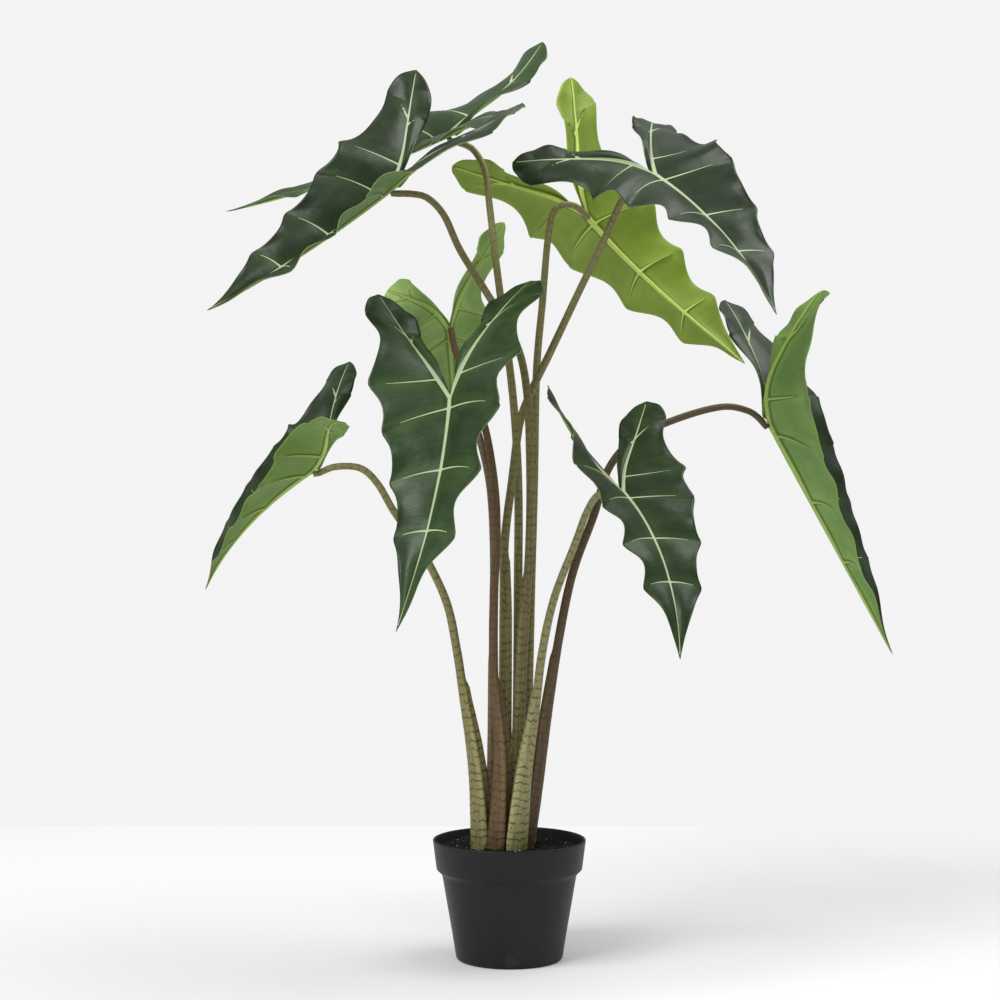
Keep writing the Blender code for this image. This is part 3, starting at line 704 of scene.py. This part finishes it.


# %% [markdown]
# ## Blade finishes
# The top is a deep green with a waxy gloss, pale veins and a fine grain that runs with the side
# veins. The underside is duller and lighter, with yellow-green cords. Beside every vein a darker band
# is painted in as shade along the ribs: light on top and deep underneath. Both sides read the distance
# to the nearest vein from the mesh, so the veins stay sharp and bend with the leaf.
# %% Top and underside
def leaf_finish(name, base, light, vein, rough, top):
    material, start, shader = new_finish(name)
    ratio = start.attribute("vein")
    away = start.attribute("away")
    edge = start.attribute("edge")
    grain = start.attribute("grain", 1)
    where = start.node("ShaderNodeTexCoord", None, None, 3)
    fine = start.noise(grain, 1.0, 4, (150, 9, 1))
    broad = start.noise(where, 14, 3)
    blotch = start.noise(where, 60, 4)
    cover = ratio.ramp(0.75, 1.35, 1, 0)
    halo = away.ramp(0.0, 0.05, 1, 0)
    tone = broad * 0.60 + fine * 0.35 + blotch * 0.30
    tone = (tone + halo * 0.18).ramp(0.45, 0.95)
    body = tone.tint(base, light)
    pale = fine.ramp(0.3, 0.7).tint(vein, tuple(c * 0.82 for c in vein))
    # Painted shade: a band on each side of every vein is darkened towards 0.45 of the base colour, lightly on top
    # and strongly underneath, in place of the shadow beside the raised ribs.
    painted_vein_shade = ratio.ramp(1.1, 1.6) * ratio.ramp(2.0, 3.6, 1, 0)
    body = (painted_vein_shade * (0.35 if top else 0.75)).tint(body, tuple(0.45 * c for c in base))
    skin = cover.tint(body, pale)
    skin = (edge * (0.0 if top else 0.35)).tint(skin, tuple(0.5 * (a + b) for a, b in zip(light, vein)))
    roughness = (blotch * 0.16 + fine * 0.10 + rough - 0.13) + cover * 0.12
    lumps = start.noise(where, 38, 2)
    relief = fine * 0.4 + blotch * 0.35 + lumps * 2.6 + cover * (0.6 if top else 0.2)
    feed(shader, Base_Color=skin, Roughness=roughness, Normal=start.bump(relief, 0.5, 0.0009))
    feed(shader, Specular_IOR_Level=0.30 if top else 0.22)
    return material


TOP_VEIN = (0.46, 0.56, 0.32)
UNDER_VEIN = (0.40, 0.56, 0.12)
YOUNG_VEIN = (0.62, 0.78, 0.16)
TOPS = {
    "left_high": ((0.0074, 0.0180, 0.0037), (0.0208, 0.0455, 0.0074)),
    "back_left": ((0.0110, 0.0302, 0.0055), (0.0350, 0.0762, 0.0143)),
    "back_right": ((0.16, 0.25, 0.035), (0.27, 0.38, 0.07)),
    "right_high": ((0.0054, 0.0148, 0.0028), (0.0158, 0.0383, 0.0061)),
    "front": ((0.0116, 0.0294, 0.0074), (0.0371, 0.0790, 0.0187)),
    "middle": ((0.0087, 0.0208, 0.0041), (0.0234, 0.0495, 0.0086)),
    "left_low": ((0.0074, 0.0195, 0.0037), (0.0208, 0.0466, 0.0080)),
    "right_low": ((0.0081, 0.0208, 0.0041), (0.0260, 0.0553, 0.0100)),
    "far_right": ((0.0074, 0.0195, 0.0037), (0.0208, 0.0466, 0.0080)),
}
UNDERS = {
    "left_high": ((0.1208, 0.2152, 0.0585), (0.1943, 0.3150, 0.0900)),
    "back_left": ((0.060, 0.115, 0.050), (0.110, 0.180, 0.075)),
    "back_right": ((0.1720, 0.2640, 0.0230), (0.2640, 0.3680, 0.0504)),
    "right_high": ((0.060, 0.115, 0.040), (0.110, 0.180, 0.070)),
    "front": ((0.060, 0.115, 0.040), (0.110, 0.180, 0.070)),
    "middle": ((0.1995, 0.3412, 0.0935), (0.3610, 0.5250, 0.1615)),
    "left_low": ((0.1080, 0.1958, 0.0360), (0.1755, 0.2903, 0.0585)),
    "right_low": ((0.060, 0.115, 0.040), (0.110, 0.180, 0.070)),
    "far_right": ((0.1283, 0.2343, 0.0550), (0.2160, 0.3621, 0.0850)),
}
for leaf in LEAVES:
    upper = leaf_finish("top_" + leaf.name, *TOPS[leaf.name], TOP_VEIN, 0.38, True)
    under_vein = YOUNG_VEIN if leaf.name == "back_right" else UNDER_VEIN
    lower = leaf_finish("under_" + leaf.name, *UNDERS[leaf.name], under_vein, 0.50, False)
    blade = make_blade(leaf, upper, lower)
    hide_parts("leaf_" + leaf.name)
    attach(blade, "root")
    print(blade.name, len(blade.data.polygons), "faces")

# %% [markdown]
# ## Stalks
# A stalk is a round, fleshy rod. Low down it widens into a sheath, whose two thin wings once wrapped
# the next leaf and end in a notch. A tube swept along a smooth curve gives the rod, and its section
# grows two flanges where the sheath is. Its skin has short dark cross bars, densest near the soil.
# %% Stalk mesh
STALK_FOOT_Z = 0.0985
STALK_TOP_RADIUS = 0.0036
STALK_SWELL = 0.0022
STALK_END_RADIUS = 0.0022
STALK_DROP = 0.0013
SHEATH_HEIGHT = 0.17
STALK_SIDES = 28
STALK_RINGS = 130
BAR_STEP = 0.0088
SHEATH_SPREAD = 0.16
SOIL_TOP = 0.1235
WING = {
    "left_high": (0.43, 195, 0.0050), "back_left": (0.22, 160, 0.0020), "back_right": (0.24, -10, 0.0024),
    "right_high": (0.45, -15, 0.0046), "front": (0.34, 200, 0.0030), "middle": (0.315, -15, 0.0066),
    "left_low": (0.312, -15, 0.0068), "right_low": (0.305, 195, 0.0066), "far_right": (0.345, 195, 0.0050),
}


def spline(points, count):
    """A Catmull-Rom curve through the points, evened out to equal steps along its length."""
    p = np.array(points, float)
    p = np.vstack([2 * p[0] - p[1], p, 2 * p[-1] - p[-2]])
    out = []
    for k in range(1, len(p) - 2):
        for t in np.linspace(0, 1, 24, endpoint=False):
            out.append(0.5 * (2 * p[k] + (p[k + 1] - p[k - 1]) * t
                              + (2 * p[k - 1] - 5 * p[k] + 4 * p[k + 1] - p[k + 2]) * t ** 2
                              + (3 * p[k] - p[k - 1] - 3 * p[k + 1] + p[k + 2]) * t ** 3))
    out.append(p[-2])
    out = np.array(out)
    run = np.concatenate([[0], np.cumsum(np.linalg.norm(np.diff(out, axis=0), axis=1))])
    even = np.linspace(0, run[-1], count)
    return np.stack([np.interp(even, run, out[:, k]) for k in range(3)], 1)


def stalk_route(leaf):
    """From the rootstock up to the underside of the blade, which it meets from below."""
    under = -Posture(leaf).base[:, 2]
    junction = np.array(leaf.at)
    first = np.array(leaf.stalk[0], float)
    points = [np.array([first[0], first[1], STALK_FOOT_Z])] + [np.array(p, float) for p in leaf.stalk[1:]]
    for point in points[-3:]:
        away = np.linalg.norm(point - junction)
        depth = (point - junction).dot(under)
        point += under * max(0.0, 0.4 * min(away, 0.03) + 0.003 - depth)
    return spline(points + [junction + under * 0.006, junction + under * STALK_DROP], STALK_RINGS)


def make_stalk(leaf, skin):
    route = stalk_route(leaf)
    run = np.concatenate([[0], np.cumsum(np.linalg.norm(np.diff(route, axis=0), axis=1))])
    share = run / run[-1]
    extra = leaf.foot_radius - STALK_TOP_RADIUS - STALK_SWELL
    radii = STALK_TOP_RADIUS + STALK_SWELL * (1 - share)
    radii = radii + max(extra, 0) * (1 - smooth((route[:, 2] - SOIL_TOP) / SHEATH_HEIGHT))
    radii = radii * (1 + SHEATH_SPREAD * (1 - smooth((route[:, 2] - SOIL_TOP) / 0.14)) * (extra > 0.002))
    radii = radii * np.minimum(1, STALK_END_RADIUS / STALK_TOP_RADIUS + (run[-1] - run) / 0.010)
    top, heading, width = WING[leaf.name]
    wings = width * smooth((top - route[:, 2]) / 0.012) * (0.35 + 0.65 * smooth((top + 0.02 - route[:, 2]) / 0.1))
    wings = wings * smooth((route[:, 2] - SOIL_TOP + 0.02) / 0.03)
    tangents = np.gradient(route, axis=0)
    side_axis = np.array([1.0, 0, 0])
    angles = np.arange(STALK_SIDES) * 2 * math.pi / STALK_SIDES
    rings = []
    for point, tangent, radius, wing, s in zip(route, tangents, radii, wings, run):
        tangent = tangent / np.linalg.norm(tangent)
        side_axis = side_axis - tangent * side_axis.dot(tangent)
        side_axis /= np.linalg.norm(side_axis)
        other = np.cross(tangent, side_axis)
        turn = angles - math.radians(heading)
        flange = np.maximum(0, np.cos(turn - 0.55)) ** 16 + 0.8 * np.maximum(0, np.cos(turn + 0.75)) ** 16
        ripple = 1 + 0.012 * np.sin(3 * angles + s * 35) + 0.008 * math.sin(s * 190)
        size = radius * ripple + wing * flange
        rings.append(point + size[:, None] * (np.outer(np.cos(angles), side_axis) + np.outer(np.sin(angles), other)))
    vertices = np.clip(np.vstack(rings), LOW, HIGH)
    faces = []
    for ring in range(STALK_RINGS - 1):
        for k in range(STALK_SIDES):
            a, b = ring * STALK_SIDES + k, ring * STALK_SIDES + (k + 1) % STALK_SIDES
            faces.append((a, b, b + STALK_SIDES, a + STALK_SIDES))
    faces.append(tuple(range(STALK_SIDES))[::-1])
    faces.append(tuple(range(len(vertices) - STALK_SIDES, len(vertices))))
    mesh = bpy.data.meshes.new("stem_" + leaf.name)
    mesh.from_pydata(vertices.tolist(), [], faces)
    mesh.materials.append(skin)
    mesh.shade_smooth()
    wrap = np.stack([np.tile(np.cos(angles), STALK_RINGS), np.tile(np.sin(angles), STALK_RINGS),
                     np.repeat(run, STALK_SIDES)], 1)
    mesh.attributes.new("skin", "FLOAT_VECTOR", "POINT").data.foreach_set("vector", wrap.ravel())
    winged = np.concatenate([w / 0.0068 * (np.maximum(0, np.cos(angles - math.radians(heading) - 0.55)) ** 10
                             + np.maximum(0, np.cos(angles - math.radians(heading) + 0.75)) ** 10) for w in wings])
    mesh.attributes.new("wing", "FLOAT", "POINT").data.foreach_set("value", winged)
    stem = bpy.data.objects.new("stem_" + leaf.name, mesh)
    bpy.context.scene.collection.objects.link(stem)
    return stem


# %% [markdown]
# The skin's colour changes along the stalk, so the mesh carries how far up each point is and where it
# is round the stalk. Noise that is squeezed along that length turns into short bars across it.
# %% Stalk skin
def stalk_finish(name, base, light, bar, spots):
    material, start, shader = new_finish(name)
    skin = start.attribute("skin", 1)
    wing = start.attribute("wing")
    along = start.split(skin, 2)
    sway = start.noise(skin, 1.0, 2, (1.4, 1.4, 40)) * 9.0
    bars = (along * (2 * math.pi / BAR_STEP) + sway).math("SINE").ramp(0.55, 0.92)
    patches = start.noise(skin, 1.0, 2, (1.3, 1.3, 90)).ramp(0.34, 0.56)
    fine = start.noise(skin, 1.0, 3, (9, 9, 40))
    dots = start.noise(skin, 1.0, 2, (4.5, 4.5, 420)).ramp(0.60, 0.70)
    low = along.ramp(0.10, 0.75, 1.0, 0.45)
    cover = bars * patches * low * 0.75
    body = fine.ramp(0.3, 0.7).tint(base, light)
    body = wing.ramp(0.2, 0.9, 0, 0.55).tint(body, tuple(min(c * 1.5, 1) for c in light))
    colour = cover.tint(body, bar)
    colour = (dots * low * 0.9).tint(colour, spots)
    feed(shader, Base_Color=colour, Roughness=fine * 0.2 + 0.36, Specular_IOR_Level=0.3)
    feed(shader, Normal=start.bump(fine * 0.5 + cover * 0.5, 0.4, 0.0005))
    return material


OLIVE = ((0.150, 0.150, 0.048), (0.270, 0.250, 0.105))
BROWN = ((0.130, 0.090, 0.042), (0.225, 0.165, 0.085))
DARK = ((0.065, 0.045, 0.021), (0.125, 0.090, 0.042))
MIXED = ((0.140, 0.125, 0.046), (0.240, 0.215, 0.090))
PALE = ((0.190, 0.200, 0.070), (0.330, 0.320, 0.150))
RUST = ((0.085, 0.052, 0.022), (0.150, 0.100, 0.045))
SKINS = {"left_high": MIXED, "front": BROWN, "middle": RUST, "far_right": DARK, "right_low": PALE}
for leaf in LEAVES:
    tones = SKINS.get(leaf.name, OLIVE)
    skin = stalk_finish("skin_" + leaf.name, *tones, (0.062, 0.030, 0.018), (0.24, 0.060, 0.028))
    stem = make_stalk(leaf, skin)
    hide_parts("stalk_" + leaf.name)
    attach(stem, "root")
print("stalks made:", len(LEAVES))

# %% [markdown]
# ## Pot
# A nursery pot is moulded from thin charcoal plastic: a tapering wall, a deeper rim band, and drain
# holes in the floor. A profile turned about the axis in many steps gives a truly round wall with
# small rounded edges. The holes are cut with round drills, and the cuts are applied at once.
# %% Pot mesh
POT_PROFILE = [
    (0, 0), (0.0350, 0), (0.0500, 0), (0.0553, 0.0000), (0.0574, 0.0004), (0.0589, 0.0018), (0.0596, 0.0042),
    (0.0640, 0.0317), (0.0690, 0.0600), (0.0740, 0.0893), (0.0744, 0.0915), (0.0750, 0.0935),
    (0.0775, 0.0962), (0.0797, 0.0984), (0.0805, 0.0990), (0.0809, 0.0999),
    (0.0829, 0.1150), (0.0847, 0.1296), (0.0849, 0.1309), (0.0845, 0.1317), (0.0838, 0.1320),
    (0.0831, 0.1318), (0.0826, 0.1311), (0.0824, 0.1302), (0.0786, 0.1012), (0.0770, 0.0985),
    (0.0722, 0.0940), (0.0715, 0.0910), (0.0643, 0.0500), (0.0571, 0.0040), (0.0560, 0.0030), (0, 0.0030),
]
POT_SIDES = 160
DRAIN_RADIUS = 0.005
DRAIN_CIRCLE = 0.036


def turned(name, profile, sides):
    """A closed body turned about Z from points that start and end on the axis."""
    bm = bmesh.new()
    rings = []
    for radius, height in profile:
        spots = [0] if radius == 0 else [2 * math.pi * k / sides for k in range(sides)]
        rings.append([bm.verts.new((radius * math.cos(a), radius * math.sin(a), height)) for a in spots])
    for low, high in zip(rings, rings[1:]):
        for k in range(sides):
            n = (k + 1) % sides
            loop = [low[k % len(low)], low[n % len(low)], high[n % len(high)], high[k % len(high)]]
            bm.faces.new([v for i, v in enumerate(loop) if v not in loop[:i]])
    bmesh.ops.recalc_face_normals(bm, faces=bm.faces)
    mesh = bpy.data.meshes.new(name)
    bm.to_mesh(mesh)
    bm.free()
    made = bpy.data.objects.new(name, mesh)
    bpy.context.scene.collection.objects.link(made)
    return made


def drill(pot, radius, circle, count):
    for k in range(count):
        angle = 2 * math.pi * k / count + math.radians(11)
        bit = turned("bit", [(0, -0.01), (radius, -0.01), (radius, 0.01), (0, 0.01)], 24)
        bit.location = (circle * math.cos(angle), circle * math.sin(angle), 0)
        cut = pot.modifiers.new("hole", "BOOLEAN")
        cut.operation = "DIFFERENCE"
        cut.solver = "EXACT"
        cut.object = bit
        bpy.context.view_layer.update()
        shape = bpy.data.meshes.new_from_object(pot.evaluated_get(bpy.context.evaluated_depsgraph_get()))
        pot.modifiers.clear()
        pot.data = shape
        bpy.data.objects.remove(bit)


pot = turned("nursery_pot", POT_PROFILE, POT_SIDES)
drill(pot, DRAIN_RADIUS, DRAIN_CIRCLE, 6)
pot.data.shade_smooth()
pot.data.set_sharp_from_angle(angle=math.radians(50))
print("pot faces:", len(pot.data.polygons))

# %% [markdown]
# The plastic is a satin charcoal. Faint clouds in its tone and gloss come from the mould, a fine
# grit breaks up the shine, and a little dried dirt clings near the foot.
# %% Pot finish
def pot_finish():
    material, start, shader = new_finish("charcoal plastic")
    where = start.node("ShaderNodeTexCoord", None, None, 3)
    height = start.split(where, 2)
    cloud = start.noise(where, 22, 4)
    grit = start.noise(where, 900, 3)
    streak = start.noise(where, 1.0, 3, (160, 160, 9))
    dust = (start.noise(where, 55, 5).ramp(0.52, 0.75)) * height.ramp(0.0, 0.05, 0.5, 0.06)
    tone = (cloud * 1.0 + streak * 0.15 - 0.1).ramp(0.2, 0.8)
    plastic = tone.tint((0.0055, 0.0060, 0.0068), (0.0105, 0.0110, 0.0122))
    colour = dust.tint(plastic, (0.040, 0.034, 0.028))
    feed(shader, Base_Color=colour, Roughness=cloud * 0.14 + dust * 0.3 + streak * 0.08 + 0.36)
    feed(shader, Normal=start.bump(grit * 0.6 + cloud * 0.5, 0.22, 0.0003), Specular_IOR_Level=0.28)
    return material


pot.data.materials.append(pot_finish())
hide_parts("pot")
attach(pot, "root")

# %% [markdown]
# ## Soil
# Potting mix is dark peat with crumbs, bark and pale grains of perlite. A turned body fills the pot,
# its top is a fine grid raised by layered noise, and loose crumbs lie on it as small faceted stones.
# %% Soil body and crumbs
SOIL_RADIUS = 0.0805
SOIL_WALL = [(0.0558, 0.0036), (0.0706, 0.0941), (0.0770, 0.1014), (SOIL_RADIUS, 0.1215)]
rng = np.random.default_rng(7)
WAVES = [(rng.normal(size=2) * 2 * math.pi / size, rng.uniform(0, 6.28), height)
         for size, height in [(0.05, 0.0010)] * 5 + [(0.016, 0.0006)] * 8 + [(0.006, 0.00035)] * 12]


def soil_height(x, y):
    bumps = sum(h * math.sin(k[0] * x + k[1] * y + p) for k, p, h in WAVES)
    edge = smooth((SOIL_RADIUS - math.hypot(x, y)) / 0.02)
    return min(SOIL_TOP - 0.0012 + (bumps + 0.0022) * float(edge), 0.1288)


def make_soil_body(finish):
    sides = 120
    ring_radii = np.linspace(SOIL_RADIUS, 0.002, 44)
    profile = [(r, z) for r, z in SOIL_WALL]
    vertices = [(0, 0, SOIL_WALL[0][1])]
    rings = []
    for radius, height in profile + [(r, None) for r in ring_radii[1:]]:
        rings.append(len(vertices))
        for k in range(sides):
            angle = 2 * math.pi * k / sides
            x, y = radius * math.cos(angle), radius * math.sin(angle)
            vertices.append((x, y, soil_height(x, y) if height is None else height))
    vertices.append((0, 0, soil_height(0, 0)))
    faces = [(0, rings[0] + (k + 1) % sides, rings[0] + k) for k in range(sides)]
    for low, high in zip(rings, rings[1:]):
        faces += [(low + k, low + (k + 1) % sides, high + (k + 1) % sides, high + k) for k in range(sides)]
    last = len(vertices) - 1
    faces += [(rings[-1] + k, rings[-1] + (k + 1) % sides, last) for k in range(sides)]
    mesh = bpy.data.meshes.new("potting_mix")
    mesh.from_pydata(vertices, [], faces)
    mesh.materials.append(finish)
    mesh.shade_smooth()
    body = bpy.data.objects.new("potting_mix", mesh)
    bpy.context.scene.collection.objects.link(body)
    return body


def make_crumbs(name, count, sizes, finish, seed):
    """Small lumps resting on the soil, clear of the pot wall, as one piece."""
    rng = np.random.default_rng(seed)
    bm = bmesh.new()
    for _ in range(count):
        radius = SOIL_RADIUS * 0.96 * math.sqrt(rng.uniform())
        angle = rng.uniform(0, 2 * math.pi)
        x, y = radius * math.cos(angle), radius * math.sin(angle)
        size = rng.uniform(*sizes)
        lump = bmesh.ops.create_icosphere(bm, subdivisions=1, radius=size)["verts"]
        squash = rng.uniform(0.5, 1.1, 3)
        for v in lump:
            v.co.x = v.co.x * squash[0] * rng.uniform(0.8, 1.2) + x
            v.co.y = v.co.y * squash[1] * rng.uniform(0.8, 1.2) + y
            v.co.z = v.co.z * squash[2] * 0.8 + soil_height(x, y) + size * 0.25
    mesh = bpy.data.meshes.new(name)
    bm.to_mesh(mesh)
    bm.free()
    mesh.materials.append(finish)
    lumps = bpy.data.objects.new(name, mesh)
    bpy.context.scene.collection.objects.link(lumps)
    return lumps


def crumb_finish(name, base, light, rough, scale):
    material, start, shader = new_finish(name)
    where = start.node("ShaderNodeTexCoord", None, None, 3)
    grain = start.noise(where, scale, 6)
    patch = start.noise(where, scale * 0.12, 3)
    colour = (grain * 0.8 + patch * 0.5 - 0.15).ramp(0.25, 0.75).tint(base, light)
    feed(shader, Base_Color=colour, Roughness=rough, Normal=start.bump(grain, 0.8, 0.0012))
    feed(shader, Specular_IOR_Level=0.2)
    return material


peat = crumb_finish("damp peat", (0.0030, 0.0026, 0.0022), (0.012, 0.0095, 0.0075), 0.92, 420)
bark = crumb_finish("bark crumbs", (0.006, 0.005, 0.004), (0.030, 0.022, 0.015), 0.85, 600)
perlite = crumb_finish("perlite grains", (0.36, 0.34, 0.31), (0.62, 0.60, 0.56), 0.8, 500)
soil_pieces = [
    make_soil_body(peat),
    make_crumbs("bark_crumbs", 420, (0.0009, 0.0026), bark, 3),
    make_crumbs("perlite_grains", 60, (0.0006, 0.0014), perlite, 5),
]
for piece in soil_pieces:
    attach(piece, "root")
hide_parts("soil")
print("soil top near the middle:", round(soil_height(0, 0), 4))

# %% [markdown]
# ## Rootstock
# The rootstock is buried, so its shape from the frame is enough. It still gets a rough brown skin
# with rings, because a viewer who opens the soil would find it.
# %% Rootstock finish
material, start, shader = new_finish("rootstock skin")
where = start.node("ShaderNodeTexCoord", None, None, 3)
rings = start.noise(where, 1.0, 4, (40, 40, 700))
lumps = start.noise(where, 180, 4)
feed(shader, Base_Color=(rings * 0.6 + lumps * 0.5).ramp(0.3, 0.8).tint((0.045, 0.026, 0.014), (0.22, 0.14, 0.075)))
feed(shader, Roughness=lumps * 0.2 + 0.7, Normal=start.bump(rings + lumps, 0.7, 0.001))
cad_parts["rhizome"].material_slots[0].material = material
